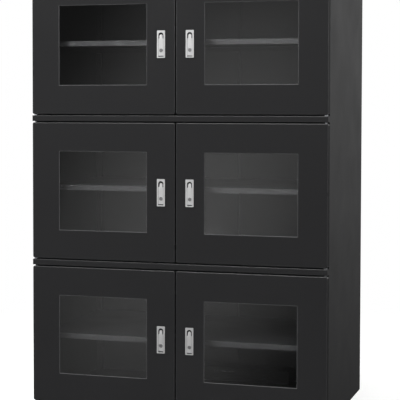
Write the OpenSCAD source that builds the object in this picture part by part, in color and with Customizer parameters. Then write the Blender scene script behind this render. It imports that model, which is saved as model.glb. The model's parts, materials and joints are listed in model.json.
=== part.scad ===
// Electronic dry cabinet with six glazed doors in three rows of two.
// Built in cabinet coordinates, with y = 0 on the door faces, and then moved so that
// the origin lies on the floor under the centre of the whole cabinet.

/* [Overall] */
// Width across the two side panels
overall_w = 1200; // [1060:10:1400]
// Depth from the door faces to the back panel
overall_d = 710; // [560:10:850]
// Height from the floor to the top panel
overall_h = 1910; // [1780:10:2100]

/* [Front frame] */
// Thickness of the folded steel sheet of the body
sheet_t = 1.2; // [1:0.1:1.6]
// Height of the rail under the lowest doors
base_rail_h = 20; // [16:1:30]
// Height of the two rails between the rows of doors
rail_h = 23; // [16:1:34]
// Height of the header above the top doors
header_h = 88; // [78:1:120]
// Gap between a door and the rail above or below it
door_gap = 5; // [4:0.5:7]
// Gap between the two doors of a row
centre_gap = 4.5; // [3:0.5:8]
// Space behind a closed door, which its gasket fills
seal_space = 5; // [4.5:0.5:7]
// Height that a rail's flange stands past the rail, behind the doors
flange_h = 20; // [19:1:28]
// Width of the jamb folded along the front of each side panel
jamb_w = 38; // [36:1:50]
// Width of the front web of the centre post
post_w = 40; // [36:1:48]
// Width of the tube behind the web of the centre post
post_tube_w = 16; // [10:1:18]
// Depth of the tube behind the web of the centre post
post_tube_d = 18; // [12:1:24]

/* [Doors] */
// Thickness of a door
door_t = 24; // [22:0.5:28]
// Thickness of a door's front and back sheets
door_skin_t = 1.5; // [1:0.1:2]
// Corner radius of a door
door_corner_r = 7; // [3:0.5:12]
// Width of the window in a door
window_w = 365; // [260:5:380]
// Height of the window in a door
window_h = 312; // [200:4:360]
// Thickness of the toughened glass
pane_t = 4; // [3:0.5:6]
// Width of the rim of glass held behind the door's front sheet
pane_lap = 8; // [5:0.5:12]
// Width of the rubber gasket
gasket_w = 10; // [6:0.5:11]
// Distance from a hinge axis to the door's outer edge
pivot_inset = 10; // [9:0.5:11]
// Radius of a hinge pin
pin_r = 4; // [3:0.25:4.5]
// Length of a hinge pin inside its door
pin_reach = 12; // [8:0.5:14]
// Radius of the bearing washer under a door
washer_r = 7; // [5.5:0.5:9]

/* [Handles] */
// Width of a handle's bezel
handle_w = 32.5; // [32:0.5:40]
// Height of a handle's bezel
handle_h = 106; // [104:1:130]
// Thickness of a bezel, proud of the door face
bezel_t = 2.5; // [1.5:0.25:3]
// Distance from a door's free edge to the middle of its handle
handle_inset = 56; // [50:1:62]
// Depth of a handle's body behind the door face
handle_d = 15; // [14:0.5:17]
// Width of the pocket that the lever lies in
pocket_w = 20.6; // [20:0.1:22]
// Height of the finger gap over the lever's tongue
finger_gap_h = 7; // [6:0.5:9]
// Height of the slot under the lever
slot_h = 3.5; // [3.5:0.25:5]
// Width of the lever's tongue
tongue_w = 12.8; // [10:0.2:14]
// Thickness of the lever
lever_t = 4; // [3:0.25:4]
// Radius of the key barrel
barrel_r = 6; // [5.5:0.25:6.5]
// Radius of the turning plug in the key barrel
plug_r = 4.2; // [3.5:0.1:4.5]
// Length of the lock cam from the plug's axis to its tip
cam_reach = 46; // [44:0.5:46]

/* [Shelves] */
// Height of a shelf's folded lip
shelf_lip_h = 21; // [16:1:30]
// Distance from the door faces to the front of a shelf
shelf_front_y = 62; // [60:1:90]
// Face width of a slotted upright
upright_w = 25; // [20:1:36]
// Depth of a slotted upright
upright_d = 14; // [10:1:18]
// Distance between the slots in an upright
slot_pitch = 25; // [20:1:32]
// Height of a slot in an upright
slot_size_h = 12; // [8:1:14]
// Distance from the floor sheet to the first shelf position
first_slot_h = 21; // [21:1:30]
// Distance of the middle back upright's left edge from the centre line
middle_upright_x = 41; // [20:1:60]

/* [Base and casters] */
// Height of the casters under the body
caster_h = 100; // [98:1:110]
// Radius of a caster wheel
wheel_r = 37.5; // [35:0.5:38]
// Width of a caster wheel
wheel_w = 24; // [18:1:28]
// Distance from a swivel axis to its wheel's axle
caster_trail = 28; // [22:1:30]
// Distance from a side panel to a caster's swivel axis
caster_inset_x = 62; // [58:1:90]
// Distance from the door faces, or from the back panel, to a swivel axis
caster_inset_y = 85; // [82:1:110]

/* [Humidity system] */
// Width of the drying unit on the floor of the lowest compartment
dryer_w = 620; // [400:10:800]
// Depth of the drying unit
dryer_d = 90; // [60:5:120]
// Height of the drying unit
dryer_h = 58; // [48:1:80]
// Width of the humidity display's bezel
display_w = 120; // [90:5:160]
// Height of the humidity display's bezel
display_h = 46; // [40:1:56]
// Travel of a display button
button_travel = 1; // [0.5:0.1:1.2]

/* [Hidden] */
ROWS = ["low", "mid", "top"];
SIDES = ["left", "right"];
ENDS = ["front", "back"];
DOORS = [for (r = ROWS) for (s = SIDES) str("door_", r, "_", s)];
DOOR_PIECES = ["panel", "glass", "handle_housing", "lever", "lock"];
CASTERS = [for (e = ENDS) for (s = SIDES) str("caster_", e, "_", s)];

$fn = 48;
// Overrun of a cut past the face that it opens
over = 1;
// Gap between two flat pieces that lie against each other
seat_gap = 0.3;
// Radial gap of a turning fit
turn_fit = 0.06;

black_coat = "#232426";
dark_rubber = "#121214";
satin_zinc = "#b9bbbe";
bright_steel = "#c9cbcd";
clear_glass = "#5a6064";
grey_tread = "#6d6f72";

// Handle details
handle_corner_r = 2.5;
handle_body_w = 29;
handle_body_h = 100;
cutout_fit = 0.5;
pocket_d = 12;
pocket_bottom_rim = 4.5;
pocket_top_rim = 8;
lever_side_fit = 0.5;
tongue_root_drop = 16.5;
pivot_up = 4.5;
pivot_y = 3.5;
pivot_pin_r = 1.5;
lug_d = 5;
lug_h = 7;
key_up = 29;
barrel_gap = 1.2;
plug_proud = 0.4;
keyway_w = 1;
keyway_h = 5;
keyway_d = 3;
tail_hole_r = 8;
neck_r = 6.6;
neck_past = 1.5;
cam_w = 12;
cam_t = 2;
cam_gap = 0.8;
cam_nut_r = 5;
cam_nut_t = 3.5;

// Levels and planes of the body
back_flange_spare = 3;
half_w = overall_w / 2;
inner_x = half_w - sheet_t;
body_y = door_t + seal_space;
body_z = caster_h;
floor_z = body_z + base_rail_h;
head_z = overall_h - header_h;
door_h = (head_z - floor_z - 2 * rail_h - 6 * door_gap) / 3;
door_w = half_w - centre_gap / 2;
door_pitch = door_h + rail_h + 2 * door_gap;
door_mid_x = (half_w + centre_gap / 2) / 2;
inner_back_y = overall_d - sheet_t;
jamb_x = half_w - jamb_w;
pivot_x = half_w - pivot_inset;
pivot_door_y = door_t / 2;
handle_x = centre_gap / 2 + handle_inset;
earth_stud_l = 14;
earth_stud_r = 3;
front_proud = bezel_t + plug_proud;
back_flange_w = upright_w + back_flange_spare;
front_y = (front_proud - overall_d - earth_stud_l) / 2;

function row_of(d) = [for (i = [0:2]) for (s = SIDES) if (d == str("door_", ROWS[i], "_", s)) i][0];
function side_of(d) = len([for (r = ROWS) if (d == str("door_", r, "_left")) 1]) > 0 ? -1 : 1;
function door_z(row) = floor_z + door_gap + row * door_pitch;
function rail_z(i) = door_z(i) + door_h + door_gap;

// Moves a piece from cabinet coordinates to the part's own origin
module placed() {
    translate([0, front_y, 0]) children();
}

// Mirrors a right-hand piece to the left side when side is -1
module on_side(side) {
    if (side < 0) mirror([1, 0, 0]) children();
    else children();
}

// Extrudes an outline in x and z from y to y + depth
module along_y(y, depth) {
    translate([0, y + depth, 0]) rotate([90, 0, 0]) linear_extrude(depth) children();
}

// Extrudes an outline in y and z from x to x + length
module along_x(x, length) {
    translate([x, 0, 0]) rotate([90, 0, 90]) linear_extrude(length) children();
}

// Cylinder along y from y to y + length, round the point x, z
module rod_y(x, y, z, r, length) {
    translate([x, y + length, z]) rotate([90, 0, 0]) cylinder(r = r, h = length);
}

// Cylinder along x from x to x + length, round the point y, z
module rod_x(x, y, z, r, length) {
    translate([x, y, z]) rotate([0, 90, 0]) cylinder(r = r, h = length);
}

// Box between two corners
module span(low, high) {
    translate(low) cube(high - low);
}

// Rectangle with round corners, centred
module rounded_rect(w, h, r) {
    square([w - 2 * r, h], center = true);
    square([w, h - 2 * r], center = true);
    for (x = [-1, 1]) for (y = [-1, 1])
        translate([x * (w / 2 - r), y * (h / 2 - r)]) circle(r);
}

// Round-ended slot, centred
module round_slot(w, h) {
    square([w, h - w], center = true);
    for (y = [-1, 1]) translate([0, y * (h - w) / 2]) circle(w / 2);
}

// Body: side panel with its front tabs, jamb and back flange
module side_panel(side) {
    color(black_coat) placed() on_side(side) {
        along_x(inner_x, sheet_t) side_outline();
        span([jamb_x, body_y, body_z], [half_w, body_y + sheet_t, overall_h - sheet_t]);
        span([half_w - back_flange_w, inner_back_y - sheet_t, body_z],
             [half_w, inner_back_y, overall_h - sheet_t]);
    }
}

// Outline of a side panel in y and z: its tabs close the ends of the rails and header
module side_outline() {
    translate([body_y, body_z]) square([overall_d - body_y, overall_h - body_z]);
    translate([0, body_z]) square([body_y, base_rail_h]);
    for (i = [0, 1]) translate([0, rail_z(i)]) square([body_y, rail_h]);
    translate([0, head_z]) square([body_y, header_h]);
}

// Vent slots behind the drying unit
vent_n = 9;
vent_w = 4;
vent_pitch = 12;
vent_h = 30;
// Cut-out in the back panel for the power inlet
inlet_side_gap = 60;
inlet_x = dryer_w / 2 - inlet_side_gap;
inlet_z = floor_z + dryer_h / 2;
inlet_w = 28;
inlet_h = 21;
earth_x = 520;
earth_up = 40;
stud_boss_r = 6;
stud_boss_t = 2;

// Body: back panel with vents and a welded earthing stud
module back_panel() {
    color(black_coat) placed() {
        difference() {
            span([-inner_x, inner_back_y, body_z], [inner_x, overall_d, overall_h - sheet_t]);
            along_y(inner_back_y - over, sheet_t + 2 * over) {
                for (i = [0:vent_n - 1])
                    translate([(i - (vent_n - 1) / 2) * vent_pitch, floor_z + dryer_h / 2])
                        round_slot(vent_w, vent_h);
                translate([inlet_x, inlet_z]) square([inlet_w, inlet_h], center = true);
            }
        }
        rod_y(-earth_x, overall_d, body_z + earth_up, earth_stud_r, earth_stud_l);
        rod_y(-earth_x, overall_d, body_z + earth_up, stud_boss_r, stud_boss_t);
    }
}

top_fold_h = 15;

// Body: top panel with a fold down each side
module top_panel() {
    color(black_coat) placed() {
        span([-inner_x, sheet_t, overall_h - sheet_t], [inner_x, overall_d, overall_h]);
        for (side = [-1, 1]) on_side(side)
            span([inner_x - sheet_t, body_y + 2 * sheet_t, overall_h - top_fold_h],
                 [inner_x, inner_back_y - 2 * sheet_t, overall_h - sheet_t]);
    }
}

// Body: floor sheet and ceiling sheet of the chamber
module liner_panels() {
    color(black_coat) placed()
        for (z = [floor_z - sheet_t, head_z])
            span([-inner_x, body_y + sheet_t, z], [inner_x, inner_back_y - sheet_t, z + sheet_t]);
}

// Channels under the floor that carry the casters
channel_w = 100;
channel_t = 2.5;

// Body: front and back base channels
module base_frame() {
    color(black_coat) placed()
        for (y = [caster_inset_y, overall_d - caster_inset_y])
            difference() {
                span([-inner_x, y - channel_w / 2, body_z],
                     [inner_x, y + channel_w / 2, floor_z - sheet_t]);
                span([-inner_x - over, y - channel_w / 2 + channel_t, body_z + channel_t],
                     [inner_x + over, y + channel_w / 2 - channel_t, floor_z + over]);
            }
}

// Section of a rail in y and z: a channel open to the back
module channel_section(h) {
    difference() {
        square([body_y, h]);
        translate([sheet_t, sheet_t]) square([body_y, h - 2 * sheet_t]);
    }
}

// Rail between the side panels, with flanges behind the doors
module rail(z, h, up, down) {
    translate([0, 0, z]) {
        along_x(-inner_x, 2 * inner_x) channel_section(h);
        along_x(-jamb_x, 2 * jamb_x) translate([body_y, 0]) {
            translate([0, h - sheet_t]) square([sheet_t, up + sheet_t]);
            translate([0, -down]) square([sheet_t, down + sheet_t]);
        }
    }
}

// Front frame: bottom rail and the two rails between the rows
module front_rails() {
    color(black_coat) placed() {
        rail(body_z, base_rail_h, flange_h, 0);
        for (i = [0, 1]) rail(rail_z(i), rail_h, flange_h, flange_h);
    }
}

// Size of the display's body behind the header's face
display_rim_w = 7;
display_rim_h = 5;
display_body_w = display_w - 2 * display_rim_w;
display_body_h = display_h - 2 * display_rim_h;
display_body_d = 22;
display_mid_z = head_z + header_h / 2;

// Front frame: header with its bottom return, its flange and the display's cut-out
module header_fascia() {
    color(black_coat) placed() difference() {
        union() {
            span([-inner_x, 0, head_z], [inner_x, sheet_t, overall_h]);
            span([-inner_x, 0, head_z], [inner_x, body_y, head_z + sheet_t]);
            span([-jamb_x, body_y, head_z - flange_h],
                 [jamb_x, body_y + sheet_t, head_z + sheet_t]);
        }
        along_y(-over, sheet_t + 2 * over) translate([0, display_mid_z])
            square([display_body_w + 2 * cutout_fit, display_body_h + 2 * cutout_fit], center = true);
    }
}

// Front frame: centre post, a tube from floor to ceiling with a web behind each pair of doors
module centre_post() {
    color(black_coat) placed() {
        difference() {
            span([-post_tube_w / 2, body_y + sheet_t, floor_z],
                 [post_tube_w / 2, body_y + sheet_t + post_tube_d, head_z]);
            span([-post_tube_w / 2 + sheet_t, body_y + 2 * sheet_t, floor_z - over],
                 [post_tube_w / 2 - sheet_t, body_y + post_tube_d, head_z + over]);
        }
        for (row = [0:2])
            span([-post_w / 2, body_y, door_z(row) - door_gap + flange_h],
                 [post_w / 2, body_y + sheet_t, door_z(row) + door_h + door_gap - flange_h]);
    }
}

// Shelves: each rests on clips hooked in the slots nearest its wanted height
clip_t = 1.5;
clip_w = 18;
clip_reach = 15;
clip_drop = 16;
shelf_side_fit = 0.5;
shelf_half_w = inner_x - upright_d - clip_t - shelf_side_fit;
shelf_back_y = inner_back_y - upright_d - clip_t - shelf_side_fit;
// Heights of the three middle shelves, as shares of the door height from each door's middle
middle_shelf_share = [-0.01, 0.04, 0.042];

function slot_level(z) = floor_z + first_slot_h + slot_pitch * round((z - floor_z - first_slot_h) / slot_pitch);
function middle_level(row) = slot_level(door_z(row) + door_h * (0.5 + middle_shelf_share[row]));
function divider_level(i) = slot_level(rail_z(i) + rail_h / 2);
SHELF_LEVELS = [middle_level(0), divider_level(0), middle_level(1), divider_level(1), middle_level(2)];

// Shelves: five sheet trays with their lips folded down
module shelves() {
    color(black_coat) placed()
        for (z = SHELF_LEVELS)
            difference() {
                span([-shelf_half_w, shelf_front_y, z - shelf_lip_h], [shelf_half_w, shelf_back_y, z]);
                span([-shelf_half_w + sheet_t, shelf_front_y + sheet_t, z - shelf_lip_h - over],
                     [shelf_half_w - sheet_t, shelf_back_y - sheet_t, z - sheet_t]);
            }
}

upright_t = 1.2;
upright_slot_w = 4;
upright_setback = 25;
side_upright_y = body_y + sheet_t + upright_setback;
dryer_clear = 20;

// Face of an upright with its slots, from level low to level high
module slotted_face(w, low, high) {
    difference() {
        translate([0, low]) square([w, high - low]);
        for (z = [floor_z + first_slot_h : slot_pitch : high - slot_pitch])
            if (z > low + slot_pitch)
                translate([w / 2 - upright_slot_w / 2, z - slot_size_h / 2]) square([upright_slot_w, slot_size_h]);
    }
}

// Upright against the plane y = back, with its left edge at x
module back_upright(x, low, back) {
    translate([x, inner_back_y - upright_d, 0]) {
        along_y(0, upright_t) slotted_face(upright_w, low, head_z);
        for (leg_x = [0, upright_w - upright_t])
            span([leg_x, 0, low], [leg_x + upright_t, back - inner_back_y + upright_d, head_z]);
    }
}

// Upright on a side panel, just behind its jamb
module side_upright() {
    translate([0, side_upright_y, 0]) {
        along_x(inner_x - upright_d, upright_t) slotted_face(upright_w, floor_z, head_z);
        for (leg_y = [0, upright_w - upright_t])
            span([inner_x - upright_d, leg_y, floor_z], [inner_x, leg_y + upright_t, head_z]);
    }
}

// Shelf hardware: three uprights on the back panel and one on each side panel
module shelf_uprights() {
    color(black_coat) placed() {
        for (side = [-1, 1]) on_side(side) {
            side_upright();
            back_upright(inner_x - upright_w, floor_z, inner_back_y - sheet_t);
        }
        back_upright(middle_upright_x, floor_z + dryer_h + dryer_clear, inner_back_y);
    }
}

// Clip with its tongue under a shelf's lip, its plate against y = 0 and facing -y
module shelf_clip(z) {
    bottom = z - shelf_lip_h;
    span([-clip_w / 2, -clip_t, bottom - clip_drop], [clip_w / 2, 0, bottom - clip_t]);
    span([-clip_w / 2, -clip_t - clip_reach, bottom - clip_t], [clip_w / 2, 0, bottom]);
}

// Shelf hardware: clips in the uprights, and one on the centre post for each shelf
module shelf_clips() {
    back_face_y = inner_back_y - upright_d;
    post_back_y = body_y + sheet_t + post_tube_d;
    color(bright_steel) placed()
        for (z = SHELF_LEVELS) {
            for (side = [-1, 1]) on_side(side) {
                translate([inner_x - upright_d, side_upright_y + upright_w / 2, 0])
                    rotate([0, 0, -90]) shelf_clip(z);
                translate([inner_x - upright_w / 2, back_face_y, 0]) shelf_clip(z);
            }
            translate([middle_upright_x + upright_w / 2, back_face_y, 0]) shelf_clip(z);
            translate([0, post_back_y, 0]) mirror([0, 1, 0]) post_clip(z);
        }
}

// Clip on the back of the centre post, long enough to reach the shelf's front lip
module post_clip(z) {
    bottom = z - shelf_lip_h;
    reach = shelf_front_y - body_y - sheet_t - post_tube_d + clip_reach;
    span([-post_tube_w / 2, -clip_t, bottom - clip_drop], [post_tube_w / 2, 0, bottom - clip_t]);
    span([-post_tube_w / 2, -reach, bottom - clip_t], [post_tube_w / 2, 0, bottom]);
}

gasket_edge = 4.5;
gasket_centre_edge = 5;
gasket_hinge_edge = 14;

// Gaskets: one rubber ring on the frame behind each door, clear of the door's turning edge
module door_gaskets() {
    low_x = centre_gap / 2 + gasket_centre_edge;
    high_x = pivot_x - gasket_hinge_edge;
    color(dark_rubber) placed()
        for (side = [-1, 1]) on_side(side) for (row = [0:2])
            difference() {
                span([low_x, door_t + seat_gap, door_z(row) + gasket_edge],
                     [high_x, body_y, door_z(row) + door_h - gasket_edge]);
                span([low_x + gasket_w, door_t, door_z(row) + gasket_edge + gasket_w],
                     [high_x - gasket_w, body_y + over, door_z(row) + door_h - gasket_edge - gasket_w]);
            }
}

pin_tip_gap = 0.5;

// Hinges: a pin and washer under each door and a pin over it
module hinge_pins() {
    color(bright_steel) placed()
        for (side = [-1, 1]) on_side(side) for (row = [0:2])
            translate([pivot_x, pivot_door_y, door_z(row)]) {
                translate([0, 0, -door_gap]) {
                    cylinder(r = pin_r, h = door_gap + pin_reach - pin_tip_gap);
                    cylinder(r = washer_r, h = door_gap - seat_gap);
                }
                translate([0, 0, door_h - pin_reach + pin_tip_gap])
                    cylinder(r = pin_r, h = door_gap + pin_reach - pin_tip_gap);
            }
}

hinge_block_w = 22;
hinge_block_h = 17;
pane_fit = 1.5;
pane_seat = 0.8;
bead_step = 3;
bead_t = 4;
bead_y = door_skin_t + pane_t + 2 * pane_seat;
pane_pocket_w = window_w + 2 * pane_lap + 2 * pane_fit;
pane_pocket_h = window_h + 2 * pane_lap + 2 * pane_fit;

// Door: folded steel shell round the window, with a bead behind the pane and pin blocks
module door_panel(row) {
    mid = [door_mid_x, door_z(row) + door_h / 2];
    handle_mid = [handle_x, door_z(row) + door_h / 2];
    difference() {
        along_y(0, door_t) translate(mid) rounded_rect(door_w, door_h, door_corner_r);
        difference() {
            along_y(door_skin_t, door_t - 2 * door_skin_t) difference() {
                translate(mid)
                    rounded_rect(door_w - 2 * door_skin_t, door_h - 2 * door_skin_t,
                                 door_corner_r - door_skin_t);
                translate(mid)
                    square([pane_pocket_w + 2 * door_skin_t, pane_pocket_h + 2 * door_skin_t], center = true);
            }
            for (z = [door_z(row), door_z(row) + door_h - hinge_block_h])
                span([half_w - hinge_block_w, 0, z], [half_w, door_t, z + hinge_block_h]);
        }
        along_y(-over, door_skin_t + 2 * over) translate(mid) square([window_w, window_h], center = true);
        for (y = [[door_skin_t, bead_y], [bead_y + bead_t, door_t + over]])
            along_y(y[0], y[1] - y[0]) translate(mid) square([pane_pocket_w, pane_pocket_h], center = true);
        along_y(bead_y - over, bead_t + 2 * over) translate(mid)
            square([window_w + 2 * bead_step, window_h + 2 * bead_step], center = true);
        along_y(-over, door_skin_t + 2 * over) translate(handle_mid)
            square([handle_body_w + 2 * cutout_fit, handle_body_h + 2 * cutout_fit], center = true);
        rod_y(handle_x, door_t - door_skin_t - over, key_z(row), tail_hole_r, door_skin_t + 2 * over);
        for (z = [door_z(row) - over, door_z(row) + door_h - pin_reach])
            translate([pivot_x, pivot_door_y, z]) cylinder(r = pin_r + turn_fit, h = pin_reach + over);
    }
}

// Door: pane of toughened glass behind the front sheet
module door_glass(row) {
    along_y(door_skin_t + pane_seat, pane_t) translate([door_mid_x, door_z(row) + door_h / 2])
        square([window_w + 2 * pane_lap, window_h + 2 * pane_lap], center = true);
}

function handle_z(row) = door_z(row) + door_h / 2;
function pocket_low(row) = handle_z(row) - handle_h / 2 + pocket_bottom_rim;
function pocket_high(row) = handle_z(row) + handle_h / 2 - pocket_top_rim;
function lever_low(row) = pocket_low(row) + slot_h;
function tongue_high(row) = pocket_high(row) - finger_gap_h;
function lever_pivot_z(row) = lever_low(row) + pivot_up;
function key_z(row) = handle_z(row) - handle_h / 2 + key_up;

// Outline from low to high with a round top, centred on x = 0
module arched(w, low, high) {
    translate([-w / 2, low]) square([w, high - low - w / 2]);
    translate([0, high - w / 2]) circle(w / 2);
}

// Handle: die-cast housing with its bezel, lever pocket, key barrel and pivot pin
module handle_housing(row) {
    pin_l = (pocket_w + handle_body_w) / 2;
    neck_y = door_t + neck_past;
    difference() {
        union() {
            along_y(-bezel_t, bezel_t) translate([handle_x, handle_z(row)])
                rounded_rect(handle_w, handle_h, handle_corner_r);
            along_y(0, handle_d) translate([handle_x, handle_z(row)])
                square([handle_body_w, handle_body_h], center = true);
            rod_y(handle_x, 0, key_z(row), neck_r, neck_y);
        }
        difference() {
            along_y(-bezel_t - over, pocket_d + bezel_t + over) translate([handle_x, 0])
                arched(pocket_w, pocket_low(row), pocket_high(row));
            rod_y(handle_x, -bezel_t, key_z(row), barrel_r, pocket_d + bezel_t + over);
        }
        rod_y(handle_x, -bezel_t - over, key_z(row), plug_r + turn_fit, neck_y + bezel_t + 2 * over);
    }
    rod_x(handle_x - pin_l / 2, pivot_y, lever_pivot_z(row), pivot_pin_r, pin_l);
}

// Handle: lever with a rounded tongue, which tips out about the pin at its foot
module handle_lever(row) {
    w = pocket_w - 2 * lever_side_fit;
    root = tongue_high(row) - tongue_root_drop;
    difference() {
        union() {
            along_y(-bezel_t, lever_t) translate([handle_x, 0]) {
                translate([-w / 2, lever_low(row)]) square([w, root - lever_low(row)]);
                arched(tongue_w, root - over, tongue_high(row));
            }
            span([handle_x - w / 2, lever_t - bezel_t - over, lever_pivot_z(row) - lug_h / 2],
                 [handle_x + w / 2, lever_t - bezel_t + lug_d, lever_pivot_z(row) + lug_h / 2]);
        }
        rod_y(handle_x, -bezel_t - over, key_z(row), barrel_r + barrel_gap, lever_t + lug_d + 2 * over);
        rod_x(handle_x - w, pivot_y, lever_pivot_z(row), pivot_pin_r + turn_fit, 2 * w);
    }
}

// Handle: turning plug with its keyway, cam and nut. The cam hangs down when unlocked.
module handle_lock(row) {
    cam_y = body_y + sheet_t + cam_gap;
    difference() {
        rod_y(handle_x, -bezel_t - plug_proud, key_z(row), plug_r, cam_y + cam_t + bezel_t + plug_proud);
        span([handle_x - keyway_w / 2, -bezel_t - plug_proud - over, key_z(row) - keyway_h / 2],
             [handle_x + keyway_w / 2, -bezel_t - plug_proud + keyway_d, key_z(row) + keyway_h / 2]);
    }
    along_y(cam_y, cam_t) translate([handle_x, key_z(row)]) {
        circle(cam_w / 2);
        translate([-cam_w / 2, -cam_reach]) square([cam_w, cam_reach]);
    }
    rod_y(handle_x, cam_y + cam_t, key_z(row), cam_nut_r, cam_nut_t);
}

// One piece of a door, on the door's own side of the cabinet
module door_piece(door, piece) {
    row = row_of(door);
    placed() on_side(side_of(door)) {
        if (piece == "panel") color(black_coat) door_panel(row);
        if (piece == "glass") color(clear_glass) door_glass(row);
        if (piece == "handle_housing") color(satin_zinc) handle_housing(row);
        if (piece == "lever") color(satin_zinc) handle_lever(row);
        if (piece == "lock") color(bright_steel) handle_lock(row);
    }
}

// Casters, built round the swivel axis with the wheel trailing towards +y
plate_w = 92;
plate_l = 72;
plate_t = 3;
race_r = 24;
race_h = 5;
kingpin_r = 6;
kingpin_head_r = 9;
kingpin_head_h = 3;
swivel_top_z = caster_h - plate_t - race_h - seat_gap;
swivel_h = 8;
swivel_r = 26;
swivel_play = 0.4;
leg_t = 3;
leg_gap = 1.5;
eye_r = 12;
axle_r = 4;
axle_head_r = 7;
axle_head_h = 4;
leg_top_w = 34;
tread_t = 8;
tread_bevel = 3;
hub_r = 10;
hub_proud = 0.7;
web_slope = 2;
web_sunk = 4;
bolt_r = 4;
bolt_head_r = 6.5;
bolt_head_h = 4;
bolt_spread_x = 76;
bolt_spread_y = 54;

// Mount of one caster: plate, ball race and kingpin, with four bolts
module caster_mount() {
    translate([0, 0, caster_h - plate_t]) {
        difference() {
            translate([-plate_w / 2, -plate_l / 2, 0]) cube([plate_w, plate_l, plate_t]);
            for (x = [-1, 1]) for (y = [-1, 1])
                translate([x * bolt_spread_x / 2, y * bolt_spread_y / 2, -over])
                    cylinder(r = bolt_r + turn_fit, h = plate_t + 2 * over);
        }
        for (x = [-1, 1]) for (y = [-1, 1])
            translate([x * bolt_spread_x / 2, y * bolt_spread_y / 2, 0]) {
                cylinder(r = bolt_r, h = plate_t);
                translate([0, 0, -bolt_head_h]) cylinder(r = bolt_head_r, h = bolt_head_h, $fn = 6);
            }
    }
    translate([0, 0, caster_h - plate_t - race_h]) cylinder(r = race_r, h = race_h);
    head_z0 = swivel_top_z - swivel_h - swivel_play - kingpin_head_h;
    translate([0, 0, head_z0]) {
        cylinder(r = kingpin_r, h = caster_h - plate_t - head_z0);
        cylinder(r = kingpin_head_r, h = kingpin_head_h);
    }
}

// Side outline of a fork leg in y and z
module leg_outline(braked) {
    top = swivel_top_z - swivel_play;
    polygon([[-leg_top_w / 2, top], [swivel_r, top],
             [caster_trail + eye_r, wheel_r], [caster_trail - eye_r, wheel_r]]);
    translate([caster_trail, wheel_r]) circle(eye_r);
    if (braked) {
        polygon([[0, top], [swivel_r, top], [brake_pin_y + brake_eye_r, brake_pin_z],
                 [caster_trail + eye_r, wheel_r], [caster_trail, wheel_r]]);
        translate([brake_pin_y, brake_pin_z]) circle(brake_eye_r);
    }
}

// Fork with its two legs, axle and swivel bearing
module caster_fork(braked) {
    leg_x = wheel_w / 2 + leg_gap;
    difference() {
        union() {
            translate([0, 0, swivel_top_z - swivel_h]) cylinder(r = swivel_r, h = swivel_h);
            for (x = [-leg_x - leg_t, leg_x]) along_x(x, leg_t) leg_outline(braked);
        }
        translate([0, 0, swivel_top_z - swivel_h - over])
            cylinder(r = kingpin_r + turn_fit, h = swivel_h + 2 * over);
    }
    rod_x(-leg_x - leg_t - axle_head_h, caster_trail, wheel_r, axle_r, 2 * (leg_x + leg_t + axle_head_h));
    for (x = [-leg_x - leg_t - axle_head_h, leg_x + leg_t])
        rod_x(x, caster_trail, wheel_r, axle_head_r, axle_head_h);
    if (braked)
        rod_x(-leg_x, brake_pin_y, brake_pin_z, brake_pin_r, 2 * leg_x);
}

// Half of the wheel's section: radius across and half width up
function wheel_half() = [
    [axle_r + turn_fit, wheel_w / 2 + hub_proud], [hub_r, wheel_w / 2 + hub_proud],
    [hub_r + web_slope, wheel_w / 2 - web_sunk], [wheel_r - tread_t, wheel_w / 2 - web_sunk],
    [wheel_r - tread_t, wheel_w / 2], [wheel_r - tread_bevel, wheel_w / 2],
    [wheel_r, wheel_w / 2 - tread_bevel]
];

// Wheel: hub with its bore, sunk web and bevelled tread
module caster_wheel() {
    half = wheel_half();
    other = [for (i = [len(half) - 1 : -1 : 0]) [half[i][0], -half[i][1]]];
    translate([0, caster_trail, wheel_r]) rotate([0, 90, 0]) rotate_extrude() polygon(concat(half, other));
}

// Brake pedal over the wheel, hinged between the fork's legs
brake_pin_r = 2.5;
brake_eye_r = 6;
brake_clear = 8;
brake_pin_a = 40;
brake_pin_y = caster_trail + (wheel_r + brake_clear) * sin(brake_pin_a);
brake_pin_z = wheel_r + (wheel_r + brake_clear) * cos(brake_pin_a);
brake_side_gap = 2.5;
brake_w = wheel_w + 2 * leg_gap - 2 * brake_side_gap;
brake_hub_r = 5;
pedal_l = 22;
pedal_t = 3;
pedal_drop_a = 4;
shoe_w = 5;
shoe_gap = 0.6;
brake_press_a = 16;

// Pedal plate that runs out from the hub on the pin, and the shoe that it presses on the tread
module caster_brake() {
    difference() {
        union() {
            rod_x(-brake_w / 2, brake_pin_y, brake_pin_z, brake_hub_r, brake_w);
            translate([0, brake_pin_y, brake_pin_z]) rotate([-pedal_drop_a, 0, 0])
                translate([-brake_w / 2, 0, brake_hub_r - pedal_t]) cube([brake_w, pedal_l, pedal_t]);
            translate([0, brake_pin_y, brake_pin_z]) rotate([brake_press_a - brake_pin_a, 0, 0])
                translate([-brake_w / 2, -shoe_w / 2, shoe_gap - brake_clear])
                    cube([brake_w, shoe_w, brake_clear - shoe_gap]);
        }
        rod_x(-brake_w, brake_pin_y, brake_pin_z, brake_pin_r + turn_fit, 2 * brake_w);
    }
}

// Puts a caster at its corner: the front ones trail forwards, the back ones backwards
module at_corner(end, side) {
    y = end == "front" ? caster_inset_y : overall_d - caster_inset_y;
    turn = end == "front" ? 180 : 0;
    placed() translate([side * (half_w - caster_inset_x), y, 0]) rotate([0, 0, turn]) children();
}

// Casters: the four mounts under the base channels
module caster_mounts() {
    color(bright_steel)
        for (end = ENDS) for (side = [-1, 1]) at_corner(end, side) caster_mount();
}

// Drying unit details
dryer_t = 2;
louvre_n = 14;
louvre_w = 28;
louvre_h = 4;
louvre_gap = 8;
louvre_rows = 3;

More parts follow.
